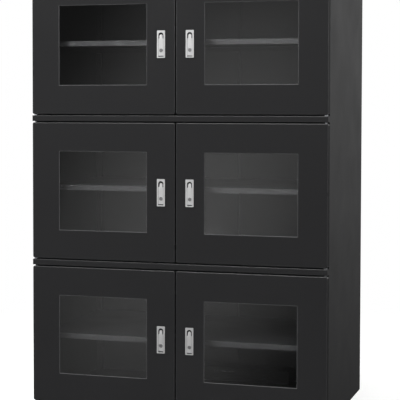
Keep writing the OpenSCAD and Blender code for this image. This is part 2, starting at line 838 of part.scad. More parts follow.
// Drying unit: housing open to the back panel, with louvres in its front
module drying_unit() {
    low_y = inner_back_y - dryer_d;
    color(black_coat) placed() difference() {
        span([-dryer_w / 2, low_y, floor_z], [dryer_w / 2, inner_back_y, floor_z + dryer_h]);
        span([-dryer_w / 2 + dryer_t, low_y + dryer_t, floor_z + dryer_t],
             [dryer_w / 2 - dryer_t, inner_back_y + over, floor_z + dryer_h - dryer_t]);
        along_y(low_y - over, dryer_t + 2 * over)
            for (i = [0:louvre_n - 1]) for (j = [0:louvre_rows - 1])
                translate([(i - (louvre_n - 1) / 2) * (louvre_w + louvre_gap),
                           floor_z + dryer_h / 2 + (j - (louvre_rows - 1) / 2) * (louvre_h + louvre_gap)])
                    square([louvre_w, louvre_h], center = true);
    }
}

// Display details
display_t = 1.6;
display_corner_r = 4;
display_glass_w = 60;
display_glass_h = 26;
display_glass_d = 0.6;
display_glass_x = -18;
button_r = 3.5;
button_fit = 0.1;
button_x = 34;
button_gap = 16;
button_proud = 1.2;
button_l = 6;

// Humidity display: bezel, body, sunk window and two button holes
module humidity_display() {
    color(dark_rubber) placed() difference() {
        union() {
            along_y(-display_t, display_t) translate([0, display_mid_z])
                rounded_rect(display_w, display_h, display_corner_r);
            along_y(0, display_body_d) translate([0, display_mid_z])
                square([display_body_w, display_body_h], center = true);
        }
        along_y(-display_t - over, display_glass_d + over) translate([display_glass_x, display_mid_z])
            square([display_glass_w, display_glass_h], center = true);
        for (side = [-1, 1])
            rod_y(button_x, -display_t - over, display_mid_z + side * button_gap / 2,
                  button_r + button_fit, button_l + button_travel + over);
    }
}

// Button of the display, with room behind it for its travel
module display_button(side) {
    color(grey_tread) placed()
        rod_y(button_x, -display_t - button_proud, display_mid_z + side * button_gap / 2, button_r, button_l);
}

// Power inlet details
inlet_flange_w = 50;
inlet_flange_h = 28;
inlet_flange_t = 3;
inlet_flange_r = 3;
inlet_d = 22;
socket_w = 24.4;
socket_h = 16.6;
socket_d = 17;
blade_w = 2;
blade_h = 4;
blade_spread = 7;
blade_lift = 2;
blade_clear = 5;
inlet_screw_r = 2.5;
inlet_screw_h = 1.5;
inlet_screw_spread = 40;
inlet_fit = 0.4;

// Power inlet: socket in the back panel, with its three blades and two screws
module power_inlet() {
    mouth_y = overall_d + inlet_flange_t;
    color(dark_rubber) placed() translate([inlet_x, 0, inlet_z]) {
        difference() {
            union() {
                along_y(overall_d, inlet_flange_t) rounded_rect(inlet_flange_w, inlet_flange_h, inlet_flange_r);
                along_y(overall_d - inlet_d, inlet_d)
                    square([inlet_w - 2 * inlet_fit, inlet_h - 2 * inlet_fit], center = true);
            }
            along_y(mouth_y - socket_d, socket_d + over) square([socket_w, socket_h], center = true);
        }
        for (blade = [[-1, -1], [0, 1], [1, -1]])
            translate([blade[0] * blade_spread, 0, blade[1] * blade_lift])
                span([-blade_w / 2, mouth_y - socket_d, -blade_h / 2],
                     [blade_w / 2, mouth_y - blade_clear, blade_h / 2]);
        for (side = [-1, 1])
            rod_y(side * inlet_screw_spread / 2, mouth_y, 0, inlet_screw_r, inlet_screw_h);
    }
}

side_panel(-1);  // side_panel_left
side_panel(1);  // side_panel_right
back_panel();
top_panel();
liner_panels();
base_frame();
front_rails();
header_fascia();
centre_post();
shelves();
shelf_uprights();
shelf_clips();
door_gaskets();
hinge_pins();
caster_mounts();
drying_unit();
humidity_display();
power_inlet();
display_button(1);  // button_up
display_button(-1);  // button_down
for (d = DOORS) for (p = DOOR_PIECES)
    door_piece(d, p);
for (end = ENDS) for (side = [-1, 1]) {
    name = str("caster_", end, side < 0 ? "_left" : "_right");
    color(bright_steel) at_corner(end, side) caster_fork(end == "front");
    color(grey_tread) at_corner(end, side) caster_wheel();
    if (end == "front") color(satin_zinc) at_corner(end, side) caster_brake();
}
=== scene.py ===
"""Looks for an electronic dry cabinet: black powder-coated steel, six glazed doors in three
rows of two, satin recessed lever locks, shelves, a drying unit and four casters.

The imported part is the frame. Most pieces are surfaces worked out with numpy from these shapes:
- a round-cornered loop: four quarter circles joined by straight lines
- a stack: loops set one behind another and joined by bands, with or without end faces
- a framed section: points of (inset, depth), each of them one loop round a rectangle
- a turned profile: points of (radius, place along the axis), each of them one circle
- a filled outline: the area between a loop and the loops of its holes, in triangles
- an inset outline: a loop whose points move inwards along the mean of two sides' normals
- a folded sheet: straight runs and arcs, given a thickness and carried along an axis
- a rolled edge: a quarter circle between a flat face and the wall behind it
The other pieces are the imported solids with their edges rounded. The panes and the uprights are
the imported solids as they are.
"""

import json

import bmesh
import bpy
import numpy as np
from mathutils import Matrix, Vector
from mathutils.geometry import delaunay_2d_cdt

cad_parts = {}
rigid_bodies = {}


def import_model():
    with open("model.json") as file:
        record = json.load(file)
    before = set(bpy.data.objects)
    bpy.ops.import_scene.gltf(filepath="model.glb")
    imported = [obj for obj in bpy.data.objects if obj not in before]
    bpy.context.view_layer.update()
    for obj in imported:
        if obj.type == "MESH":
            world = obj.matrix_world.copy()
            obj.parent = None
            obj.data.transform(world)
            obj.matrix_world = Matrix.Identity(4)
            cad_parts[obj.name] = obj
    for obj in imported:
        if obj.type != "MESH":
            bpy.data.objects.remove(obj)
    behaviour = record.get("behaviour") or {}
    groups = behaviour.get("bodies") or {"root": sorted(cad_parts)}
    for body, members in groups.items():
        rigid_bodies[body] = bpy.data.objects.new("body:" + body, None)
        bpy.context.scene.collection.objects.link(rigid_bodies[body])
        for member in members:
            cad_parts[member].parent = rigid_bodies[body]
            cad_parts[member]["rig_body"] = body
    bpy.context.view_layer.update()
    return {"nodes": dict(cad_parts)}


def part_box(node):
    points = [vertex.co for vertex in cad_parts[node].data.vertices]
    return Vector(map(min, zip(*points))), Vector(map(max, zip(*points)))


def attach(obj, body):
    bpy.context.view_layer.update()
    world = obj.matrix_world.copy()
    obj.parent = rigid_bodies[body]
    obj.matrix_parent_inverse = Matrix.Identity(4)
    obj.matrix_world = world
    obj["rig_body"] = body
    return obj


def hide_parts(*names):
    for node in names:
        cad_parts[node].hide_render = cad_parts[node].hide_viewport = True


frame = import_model()
MM = 0.001


# Camera: to the right of the cabinet at chest height, 4.9 m in front and turned 17 degrees left.
# The photograph cuts off the header and the casters, so the view is shifted down a little. Its
# place, lens and angles were solved from points of the cabinet in the photograph.
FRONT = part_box("front_rails")[0].y
camera_data = bpy.data.cameras.new("photograph")
camera_data.sensor_width = 36.0
camera_data.lens = 119.16
camera_data.shift_y = -0.09
camera_data.clip_end = 100.0
camera = bpy.data.objects.new("photograph", camera_data)
bpy.context.scene.collection.objects.link(camera)
bpy.context.scene.camera = camera
turn, tilt, lean = np.radians([16.990, 2.414, 0.105])
level = np.array([-np.sin(turn), np.cos(turn), 0.0])
right = np.array([np.cos(turn), np.sin(turn), 0.0])
up = np.array([0.0, 0.0, 1.0])
ahead = level * np.cos(tilt) - up * np.sin(tilt)
over = up * np.cos(tilt) + level * np.sin(tilt)
across = right * np.cos(lean) + over * np.sin(lean)
over = over * np.cos(lean) - right * np.sin(lean)
place = np.eye(4)
place[:3, 0], place[:3, 1], place[:3, 2] = across, over, -ahead
place[:3, 3] = 1.5859, FRONT - 4.8639, 1.2992
camera.matrix_world = Matrix(place.tolist())


# Studio: a white surround that gloss sees as a dim room with one tall soft reflector leaning in
# it, five soft lamps, and a pale floor that fades to white beyond the cabinet's shadow. Where the
# reflector stands and how bright the room is were matched to the tones of the windows.
def linear(code):
    """A hex sRGB colour as linear red, green and blue, with an alpha of one."""
    value = np.array([int(code[i : i + 2], 16) for i in (1, 3, 5)]) / 255.0
    value = np.where(value <= 0.04045, value / 12.92, ((value + 0.055) / 1.055) ** 2.4)
    return (*value.tolist(), 1.0)


def add(tree, kind, sockets=None, **settings):
    """Adds one node. Each socket takes a number or colour, or another node's output."""
    made = tree.nodes.new(kind)
    for name, value in settings.items():
        setattr(made, name, value)
    for name, value in (sockets or {}).items():
        if isinstance(value, bpy.types.NodeSocket):
            tree.links.new(value, made.inputs[name])
        else:
            made.inputs[name].default_value = value
    return made


def ways_seen(tree):
    """Two numbers for the ray that arrives: 1 where the camera sees this straight, or through
    glass, and 1 where it is seen by reflection, such as in a pane's front or back face."""
    path = add(tree, "ShaderNodeLightPath")
    unmirrored = add(tree, "ShaderNodeMath", {0: 0.5, 1: path.outputs["Glossy Depth"]},
                     operation="GREATER_THAN")
    through = add(tree, "ShaderNodeMath",
                  {0: path.outputs["Is Transmission Ray"], 1: unmirrored.outputs[0]}, operation="MULTIPLY")
    straight = add(tree, "ShaderNodeMath", {0: path.outputs["Is Camera Ray"], 1: through.outputs[0]},
                   operation="MAXIMUM")
    gloss = add(tree, "ShaderNodeMath", {0: path.outputs["Is Glossy Ray"], 1: path.outputs["Glossy Depth"]},
                operation="MAXIMUM", use_clamp=True)
    return straight.outputs[0], gloss.outputs[0]


# The reflector, as seen from the cabinet: its middle, and its long, short and near ways, each a
# direction over its reach. It fades out at REFLECTOR_EDGE times that reach.
REFLECTOR_WAY = (-0.295, -0.95, -0.07)
REFLECTOR_LONG = (0.40 / 0.15, 0.0, 0.92 / 0.15)
REFLECTOR_WIDE = (0.92 / 0.078, 0.0, -0.40 / 0.078)
REFLECTOR_NEAR = (0.0, 2.0, 0.0)
REFLECTOR_EDGE, REFLECTOR_LIGHT = 1.9, 0.7
SURROUND_LIGHT = 0.36
bpy.context.scene.view_settings.view_transform = "Standard"
surround = bpy.data.worlds.new("white_surround")
surround.use_nodes = True
bpy.context.scene.world = surround
tree = surround.node_tree
tree.nodes.clear()
straight, gloss = ways_seen(tree)
way = add(tree, "ShaderNodeTexCoord").outputs["Generated"]
parts = add(tree, "ShaderNodeSeparateXYZ", {0: way})
behind = add(tree, "ShaderNodeMapRange", {0: parts.outputs["Y"], 1: -0.4, 2: 0.4, 3: 0.08, 4: 0.6},
             interpolation_type="SMOOTHSTEP")
aside = add(tree, "ShaderNodeVectorMath", {0: way, 1: REFLECTOR_WAY}, operation="SUBTRACT")
reaches = [add(tree, "ShaderNodeVectorMath", {0: aside.outputs[0], 1: reach}, operation="DOT_PRODUCT")
           for reach in (REFLECTOR_LONG, REFLECTOR_WIDE, REFLECTOR_NEAR)]
offset = add(tree, "ShaderNodeCombineXYZ", {k: reach.outputs["Value"] for k, reach in enumerate(reaches)})
distance = add(tree, "ShaderNodeVectorMath", {0: offset.outputs[0]}, operation="LENGTH")
reflector = add(tree, "ShaderNodeMapRange",
                {0: distance.outputs["Value"], 1: 0.0, 2: REFLECTOR_EDGE, 3: REFLECTOR_LIGHT, 4: 0.0},
                interpolation_type="SMOOTHSTEP")
higher = add(tree, "ShaderNodeMapRange", {0: parts.outputs["Z"], 1: -0.25, 2: 0.2, 3: 0.0, 4: 1.4})
room = add(tree, "ShaderNodeMath", {0: behind.outputs[0], 1: higher.outputs[0]}, operation="MULTIPLY")
mirrored = add(tree, "ShaderNodeMath", {0: room.outputs[0], 1: reflector.outputs[0]}, operation="ADD")
shine = add(tree, "ShaderNodeMix", {0: gloss, 2: SURROUND_LIGHT, 3: mirrored.outputs[0]})
strength = add(tree, "ShaderNodeMix", {0: straight, 2: shine.outputs[0], 3: 1.0})
light = add(tree, "ShaderNodeBackground", {"Color": (1, 1, 1, 1), "Strength": strength.outputs[0]})
add(tree, "ShaderNodeOutputWorld", {"Surface": light.outputs[0]})


def soft_lamp(name, at, to, width, height, power):
    """A rectangular lamp at one point, turned to face another."""
    data = bpy.data.lights.new(name, "AREA")
    data.shape, data.size, data.size_y, data.energy = "RECTANGLE", width, height, power
    lamp = bpy.data.objects.new(name, data)
    lamp.location = at
    lamp.rotation_euler = (Vector(to) - Vector(at)).to_track_quat("-Z", "Y").to_euler()
    bpy.context.scene.collection.objects.link(lamp)


soft_lamp("front_lamp", (-2.0, -6.5, 3.7), (0, 0, 0.9), 3.0, 1.5, 350)
soft_lamp("left_lamp", (-4.6, -2.0, 2.4), (0, 0, 1.0), 2.0, 2.0, 60)
soft_lamp("right_lamp", (4.6, -2.4, 2.6), (0, 0, 1.0), 2.0, 2.0, 50)
soft_lamp("back_lamp", (-3.2, 5.6, 3.4), (0, 0, 1.2), 2.6, 2.0, 170)
soft_lamp("top_lamp", (0.4, -1.2, 4.4), (0, 0, 1.4), 2.4, 1.4, 70)

SPOKES, RINGS = 64, 12
FLOOR_R = 14.0
rings = np.linspace(0.0, 1.0, RINGS + 1)[1:] ** 2 * FLOOR_R
turns = np.linspace(0, 2 * np.pi, SPOKES, endpoint=False)
points = np.stack([np.outer(rings, np.cos(turns)).ravel(), np.outer(rings, np.sin(turns)).ravel(),
                   np.zeros(RINGS * SPOKES)], 1)
points = np.vstack([np.zeros((1, 3)), points])
i, k = np.meshgrid(np.arange(SPOKES), np.arange(RINGS - 1) * SPOKES + 1)
j = (i + 1) % SPOKES
faces = np.stack([i + k, i + k + SPOKES, j + k + SPOKES, j + k], -1).reshape(-1, 4).tolist()
faces += [(0, 1 + a, 1 + (a + 1) % SPOKES) for a in range(SPOKES)]
floor_mesh = bpy.data.meshes.new("pale_floor")
floor_mesh.from_pydata(points.tolist(), [], faces)
floor = bpy.data.objects.new("pale_floor", floor_mesh)
bpy.context.scene.collection.objects.link(floor)

# The floor's paint: matt near the cabinet, lifted a little for the camera, and white further off.
# Mirrored rays pass through it, so that gloss sees the dim room there as well.
floor_paint = bpy.data.materials.new("pale_studio_floor")
floor_paint.use_nodes = True
tree = floor_paint.node_tree
tree.nodes.clear()
straight, gloss = ways_seen(tree)
spot = add(tree, "ShaderNodeTexCoord")
reach = add(tree, "ShaderNodeVectorMath", {0: spot.outputs["Object"]}, operation="LENGTH")
fade = add(tree, "ShaderNodeMapRange", {0: reach.outputs["Value"], 1: 1.0, 2: 3.2, 3: 0.0, 4: 1.0},
           interpolation_type="SMOOTHSTEP")
matt = add(tree, "ShaderNodeBsdfDiffuse", {"Color": linear("#f2f2f1")})
lift = add(tree, "ShaderNodeMath", {0: straight, 1: 0.42}, operation="MULTIPLY")
lifted = add(tree, "ShaderNodeEmission", {"Color": (1, 1, 1, 1), "Strength": lift.outputs[0]})
near = add(tree, "ShaderNodeAddShader", {0: matt.outputs[0], 1: lifted.outputs[0]})
white = add(tree, "ShaderNodeEmission", {"Color": (1, 1, 1, 1), "Strength": straight})
both = add(tree, "ShaderNodeMixShader", {0: fade.outputs[0], 1: near.outputs[0], 2: white.outputs[0]})
clear = add(tree, "ShaderNodeBsdfTransparent")
paint = add(tree, "ShaderNodeMixShader", {0: gloss, 1: both.outputs[0], 2: clear.outputs[0]})
add(tree, "ShaderNodeOutputMaterial", {"Surface": paint.outputs[0]})
floor_mesh.materials.append(floor_paint)


# Side panels: 1.2 mm mild steel, folded on a press brake into a jamb at the front and a flange
# at the back, and powder-coated in black. The folds are rounded; the coat has a sandy grain, and
# on the folds it is glossier and painted paler, a painted highlight.
def blank(name):
    """A new material with no nodes, and its node tree."""
    made = bpy.data.materials.new(name)
    made.use_nodes = True
    made.node_tree.nodes.clear()
    return made, made.node_tree


def powder_coat(name, colour, roughness, gloss, grain, depth):
    """Powder coat: paint melted on in an oven. It is dull, with a sandy grain of the given size
    and depth in millimetres, drawn coarser than the real 0.3 mm so that it shows, and slow
    changes of tone and sheen where the coat is thicker. A gloss under 0.5, the value of plain
    paint, is a coat whose grain shades its own shine. It was matched to the photograph."""
    made, tree = blank(name)
    spot = add(tree, "ShaderNodeTexCoord")
    point = spot.outputs["Object"]
    sand = add(tree, "ShaderNodeTexNoise", {"Vector": point, "Scale": 1000.0 / grain, "Detail": 2.0})
    slow = add(tree, "ShaderNodeTexNoise", {"Vector": point, "Scale": 5.0, "Detail": 3.0})
    base = linear(colour)
    paler = (*[1.2 * v for v in base[:3]], 1.0)
    tone = add(tree, "ShaderNodeMix", {0: slow.outputs[0], 6: base, 7: paler}, data_type="RGBA")
    speck = add(tree, "ShaderNodeMapRange", {0: sand.outputs[0], 1: 0.3, 2: 0.7, 3: 0.9, 4: 1.1})
    grey = add(tree, "ShaderNodeMix", {0: 1.0, 6: tone.outputs[2], 7: speck.outputs[0]},
               data_type="RGBA", blend_type="MULTIPLY")
    sheen = add(tree, "ShaderNodeMapRange",
                {0: slow.outputs[0], 1: 0.3, 2: 0.7, 3: roughness - 0.03, 4: roughness + 0.04})
    raised = add(tree, "ShaderNodeBump",
                 {"Height": sand.outputs[0], "Strength": 0.6, "Distance": depth * MM})
    coat = add(tree, "ShaderNodeBsdfPrincipled",
               {"Base Color": grey.outputs[2], "Roughness": sheen.outputs[0], "IOR": 1.5,
                "Specular IOR Level": gloss, "Normal": raised.outputs[0]})
    add(tree, "ShaderNodeOutputMaterial", {"Surface": coat.outputs[0]})
    return made


def joined(*shapes):
    """Several shapes as one list of points and one of faces."""
    points, faces, start = [], [], 0
    for shape_points, shape_faces in shapes:
        points.append(np.asarray(shape_points, float))
        faces.extend([[k + start for k in f] for f in shape_faces])
        start += len(shape_points)
    return np.vstack(points), faces


def lay(flat, axis, at):
    """Points in two axes, in x y z order, set at one value of the third axis."""
    return np.insert(np.asarray(flat, float), axis, at, axis=1)


def stack(loops, first=False, last=False, closed=False):
    """Bands of four-sided faces between each loop and the next, with end faces if asked, or
    with a band from the last loop to the first."""
    count, rows = len(loops[0]), len(loops)
    k, i = np.meshgrid(np.arange(rows if closed else rows - 1), np.arange(count), indexing="ij")
    j, n = (i + 1) % count, (k + 1) % rows
    k, n = k * count, n * count
    faces = np.stack([i + k, j + k, j + n, i + n], -1).reshape(-1, 4).tolist()
    ends = [(first, 0), (last, rows - 1)]
    faces += [np.arange(row * count, row * count + count).tolist() for asked, row in ends if asked]
    return np.vstack(loops), faces


def carried(section, axis, low, high):
    """A closed section in two axes, carried from low to high along the third."""
    return stack([lay(section, axis, low), lay(section, axis, high)], True, True)


SHARP, CREASE = np.radians([32.0, 40.0])
SAME = 2e-6


def rounded(work, width):
    """Merges doubles and flat triangles, and rounds each edge that turns by more than SHARP, in
    two steps of a round of the given width in millimetres."""
    bmesh.ops.remove_doubles(work, verts=work.verts, dist=SAME)
    bmesh.ops.dissolve_limit(work, angle_limit=np.radians(0.5), verts=work.verts, edges=work.edges)
    sharp = [e for e in work.edges if len(e.link_faces) == 2 and e.calc_face_angle(0.0) > SHARP]
    bmesh.ops.bevel(work, geom=sharp, offset=width * MM, segments=2, profile=0.5, affect="EDGES",
                    clamp_overlap=True)


def finish_piece(name, work, material, body, stands_for):
    """Makes a smooth-shaded piece of the object, with hard edges where it turns by more than
    CREASE."""
    mesh = bpy.data.meshes.new(name)
    work.to_mesh(mesh)
    work.free()
    mesh.materials.append(material)
    mesh.polygons.foreach_set("use_smooth", np.ones(len(mesh.polygons), bool))
    mesh.set_sharp_from_angle(angle=CREASE)
    made = bpy.data.objects.new(name, mesh)
    bpy.context.scene.collection.objects.link(made)
    made.modifiers.new("even_shading", "WEIGHTED_NORMAL").keep_sharp = True
    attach(made, body)
    if stands_for:
        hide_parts(*stands_for)
    return made


def piece(name, shape, material, body, stands_for=(), soften=0.0):
    """Makes a piece from closed shapes, its faces turned outwards. With soften, its sharp edges
    are rounded by that radius in millimetres."""
    drawn = bpy.data.meshes.new(name)
    drawn.from_pydata(shape[0].tolist(), [], shape[1])
    work = bmesh.new()
    work.from_mesh(drawn)
    bpy.data.meshes.remove(drawn)
    bmesh.ops.remove_doubles(work, verts=work.verts, dist=SAME)
    bmesh.ops.recalc_face_normals(work, faces=work.faces)
    if soften:
        rounded(work, soften)
    return finish_piece(name, work, material, body, stands_for)


def second_finish(made, material, chosen):
    """Another material on the faces that chosen picks, from their centres and the ways they
    face, both as rows of x, y and z."""
    mesh = made.data
    mesh.materials.append(material)
    centres, facing = np.empty(3 * len(mesh.polygons)), np.empty(3 * len(mesh.polygons))
    index = np.empty(len(mesh.polygons), int)
    mesh.polygons.foreach_get("center", centres)
    mesh.polygons.foreach_get("normal", facing)
    mesh.polygons.foreach_get("material_index", index)
    index[chosen(centres.reshape(-1, 3), facing.reshape(-1, 3))] = len(mesh.materials) - 1
    mesh.polygons.foreach_set("material_index", index)


def on_folds(centres, facing):
    """True for faces that face along no axis: those of rolled and folded edges."""
    return np.abs(facing).max(axis=1) < 0.995


ARC_STEPS = 5


def bend(corners, radius):
    """A line of straight runs with each inner corner rounded: the arc touches both runs at
    radius / tan(half the angle between them) from the corner."""
    corners = np.asarray(corners, float)
    out = [corners[:1]]
    for before, here, after in zip(corners, corners[1:], corners[2:]):
        a = (before - here) / np.linalg.norm(before - here)
        b = (after - here) / np.linalg.norm(after - here)
        half = np.arccos(np.clip(a @ b, -1, 1)) / 2
        middle = here + (a + b) / np.linalg.norm(a + b) * radius / np.sin(half)
        start = here + a * radius / np.tan(half) - middle
        end = here + b * radius / np.tan(half) - middle
        sweep = np.arctan2(start[0] * end[1] - start[1] * end[0], start @ end)
        t = np.linspace(0, sweep, ARC_STEPS + 1)
        out.append(middle + np.stack([np.cos(t) * start[0] - np.sin(t) * start[1],
                                      np.sin(t) * start[0] + np.cos(t) * start[1]], 1))
    return np.vstack(out + [corners[-1:]])


def folded(corners, radius, thick):
    """Section of a folded sheet: the bent line, and back along the same line moved sideways by
    the thickness, to the left of its direction."""
    line = bend(corners, radius)
    runs = np.diff(line, axis=0)
    runs /= np.linalg.norm(runs, axis=1)[:, None]
    first, last = np.vstack([runs[:1], runs]), np.vstack([runs, runs[-1:]])
    normal = np.stack([-(first + last)[:, 1], (first + last)[:, 0]], 1)
    normal /= np.linalg.norm(normal, axis=1)[:, None]
    share = (normal * np.stack([-first[:, 1], first[:, 0]], 1)).sum(1)
    return np.vstack([line, (line + normal * (thick / share)[:, None])[::-1]])


SHEET = 1.2 * MM
FOLD = 1.6 * MM
JAMB = 38.0 * MM
BACK_FLANGE = 28.0 * MM
DOOR_GAP = 5.0 * MM
FRAME_Y = FRONT + 29.0 * MM
outer_coat = powder_coat("sandy_black_powder_coat", "#202021", 0.5, 0.3, 1.2, 0.1)
# On the folds the coat is glossier, which is real, and paler, which is a painted highlight.
fold_coat_with_painted_highlight = powder_coat("glossy_black_coat_painted_highlight_on_folds", "#2a2a2b", 0.28, 0.42, 1.2, 0.02)
right_doors = [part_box("door_%s_right_panel" % row) for row in ("low", "mid", "top")]
header_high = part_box("header_fascia")[1]
rail_low, rail_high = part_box("front_rails")
rails = [(rail_low.z, right_doors[0][0].z - DOOR_GAP),
         (right_doors[0][1].z + DOOR_GAP, right_doors[1][0].z - DOOR_GAP),
         (right_doors[1][1].z + DOOR_GAP, right_doors[2][0].z - DOOR_GAP)]
header_band = (right_doors[2][1].z + DOOR_GAP, header_high.z)
for side, sign in (("left", -1.0), ("right", 1.0)):
    low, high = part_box("side_panel_" + side)
    outside = high.x if sign > 0 else low.x
    line = [(outside - sign * BACK_FLANGE, high.y - SHEET), (outside, high.y - SHEET),
            (outside, FRAME_Y), (outside - sign * JAMB, FRAME_Y)]
    wall = carried(folded(line, FOLD, -sign * SHEET), 2, low.z, high.z - SHEET)
    tabs = [carried([(FRONT, z0), (FRAME_Y + FOLD, z0), (FRAME_Y + FOLD, z1), (FRONT, z1)], 0,
                    outside - sign * SHEET, outside) for z0, z1 in rails + [header_band]]
    made = piece("side_sheet_" + side, joined(wall, *tabs), outer_coat, "cabinet",
                 ["side_panel_" + side])
    # Painted highlight: the folds get the paler, glossier fold coat.
    second_finish(made, fold_coat_with_painted_highlight, on_folds)


# Back and top: flat sheets of the same coated steel. The back has nine vent slots behind the
# drying unit, a cut-out for the mains inlet, and a welded stud for the earth lead.
CORNER_STEPS = 6


def corner_loop(width, height, radius, centre):
    """A rectangle with round corners round a centre: each corner is a quarter circle."""
    angles = np.linspace(0, np.pi / 2, CORNER_STEPS + 1)
    radius = max(radius, 5e-5)
    quarters = []
    for k, (a, b) in enumerate(((1, 1), (-1, 1), (-1, -1), (1, -1))):
        t = angles + k * np.pi / 2
        quarters.append(np.stack([a * (width / 2 - radius) + radius * np.cos(t),
                                  b * (height / 2 - radius) + radius * np.sin(t)], 1))
    return np.vstack(quarters) + np.asarray(centre)


def circle(radius, centre, count=32):
    """A circle round a centre, as points at equal angles."""
    t = np.linspace(0, 2 * np.pi, count, endpoint=False)
    return np.stack([np.cos(t), np.sin(t)], 1) * radius + np.asarray(centre)


def within(points, ring):
    """True for each point inside a ring: a line from it to the right crosses the ring an odd
    number of times."""
    a, b = ring, np.roll(ring, -1, axis=0)
    p = points[:, None]
    crossing = (a[:, 1] > p[..., 1]) != (b[:, 1] > p[..., 1])
    rise = np.where(b[:, 1] == a[:, 1], 1e-12, b[:, 1] - a[:, 1])
    at = a[:, 0] + (p[..., 1] - a[:, 1]) / rise * (b[:, 0] - a[:, 0])
    return (crossing & (p[..., 0] < at)).sum(1) % 2 == 1


def filled(outline, holes, axis, at):
    """Triangles that fill an outline, less its holes, at one value of an axis."""
    flat, edges = [], []
    for ring in (outline, *holes):
        start = len(flat)
        flat.extend(ring.tolist())
        edges += [(start + k, start + (k + 1) % len(ring)) for k in range(len(ring))]
    got = delaunay_2d_cdt([Vector(p) for p in flat], edges, [], 1, 1e-8)
    points = np.array([v[:] for v in got[0]])
    corners = np.array([list(f) for f in got[2]])
    middle = points[corners].mean(1)
    kept = within(middle, outline)
    for ring in holes:
        kept &= ~within(middle, ring)
    return lay(points, axis, at), corners[kept].tolist()


def pressed(outline, holes, axis, low, high):
    """A flat sheet with holes: both faces, and a wall round the outline and round each hole."""
    walls = [stack([lay(ring, axis, low), lay(ring, axis, high)]) for ring in (outline, *holes)]
    return joined(filled(outline, holes, axis, low), filled(outline, holes, axis, high), *walls)


def turned(profile, axis, centre, count=40, closed=False):
    """A profile of (radius, place along the axis) turned round an axis through a centre. A
    radius of zero closes the end."""
    loops = [lay(circle(max(r, 1e-7), centre, count), axis, at) for r, at in profile]
    return stack(loops, not closed, not closed, closed)


def softened(node, material, width):
    """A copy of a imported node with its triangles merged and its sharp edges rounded."""
    source = frame["nodes"][node]
    work = bmesh.new()
    work.from_mesh(source.data)
    rounded(work, width)
    return finish_piece(node + "_finished", work, material, source["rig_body"], [node])


VENTS, VENT_PITCH = 9, 12 * MM
VENT_W, VENT_H = 4 * MM, 30 * MM
INLET_HOLE = (28 * MM, 21 * MM)
# Paler than the outer coat, though it is the same paint: painted light for the dim inside of the cabinet.
# Its finer grain and smoother sheen are its own.
inside_coat_painted_paler = powder_coat("smooth_black_coat_painted_paler_inside", "#2c2c2d", 0.42, 0.3, 6.0, 0.02)
low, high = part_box("back_panel")
dryer_low, dryer_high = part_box("drying_unit")
inlet_low, inlet_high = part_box("power_inlet")
back_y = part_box("side_panel_right")[1].y
outline = corner_loop(high.x - low.x, high.z - low.z, 1 * MM,
                      ((high.x + low.x) / 2, (high.z + low.z) / 2))
vent_z = (dryer_low.z + dryer_high.z) / 2
holes = [corner_loop(VENT_W, VENT_H, VENT_W / 2, ((k - (VENTS - 1) / 2) * VENT_PITCH, vent_z))
         for k in range(VENTS)]
inlet_middle = ((inlet_low.x + inlet_high.x) / 2, (inlet_low.z + inlet_high.z) / 2)
holes.append(corner_loop(*INLET_HOLE, 0.5 * MM, inlet_middle))
made = piece("back_sheet", pressed(outline, holes, 1, back_y - SHEET, back_y), outer_coat, "cabinet",
             ["back_panel"], soften=0.3)
# Painted light: the back's inside faces get the paler inside coat.
second_finish(made, inside_coat_painted_paler, lambda centres, facing: facing[:, 1] < -0.9)
softened("top_panel", outer_coat, 0.45)
for node in ("base_frame", "liner_panels", "centre_post"):
    softened(node, inside_coat_painted_paler, 0.4)


def plated(name, colour, roughness, grain, cloud, brushed=(1.0, 1.0, 1.0)):
    """Plated metal. Its sheen changes in clouds, and a fine grain, stretched along the way that
    it was rubbed, scatters the light. The grain's size is in millimetres."""
    made, tree = blank(name)
    spot = add(tree, "ShaderNodeTexCoord")
    point = spot.outputs["Object"]
    drawn = add(tree, "ShaderNodeMapping", {"Vector": point, "Scale": brushed})
    fine = add(tree, "ShaderNodeTexNoise",
               {"Vector": drawn.outputs[0], "Scale": 1000.0 / grain, "Detail": 3.0})
    slow = add(tree, "ShaderNodeTexNoise", {"Vector": point, "Scale": 60.0, "Detail": 2.0})
    base = linear(colour)
    darker = (*[(1 - cloud) * v for v in base[:3]], 1.0)
    tone = add(tree, "ShaderNodeMix", {0: slow.outputs[0], 6: darker, 7: base}, data_type="RGBA")
    sheen = add(tree, "ShaderNodeMapRange",
                {0: fine.outputs[0], 1: 0.3, 2: 0.7, 3: roughness - 0.06, 4: roughness + 0.08})
    raised = add(tree, "ShaderNodeBump",
                 {"Height": fine.outputs[0], "Strength": 0.25, "Distance": 0.05 * MM})
    metal = add(tree, "ShaderNodeBsdfPrincipled",
                {"Base Color": tone.outputs[2], "Metallic": 1.0, "Roughness": sheen.outputs[0],
                 "Normal": raised.outputs[0]})
    add(tree, "ShaderNodeOutputMaterial", {"Surface": metal.outputs[0]})
    return made


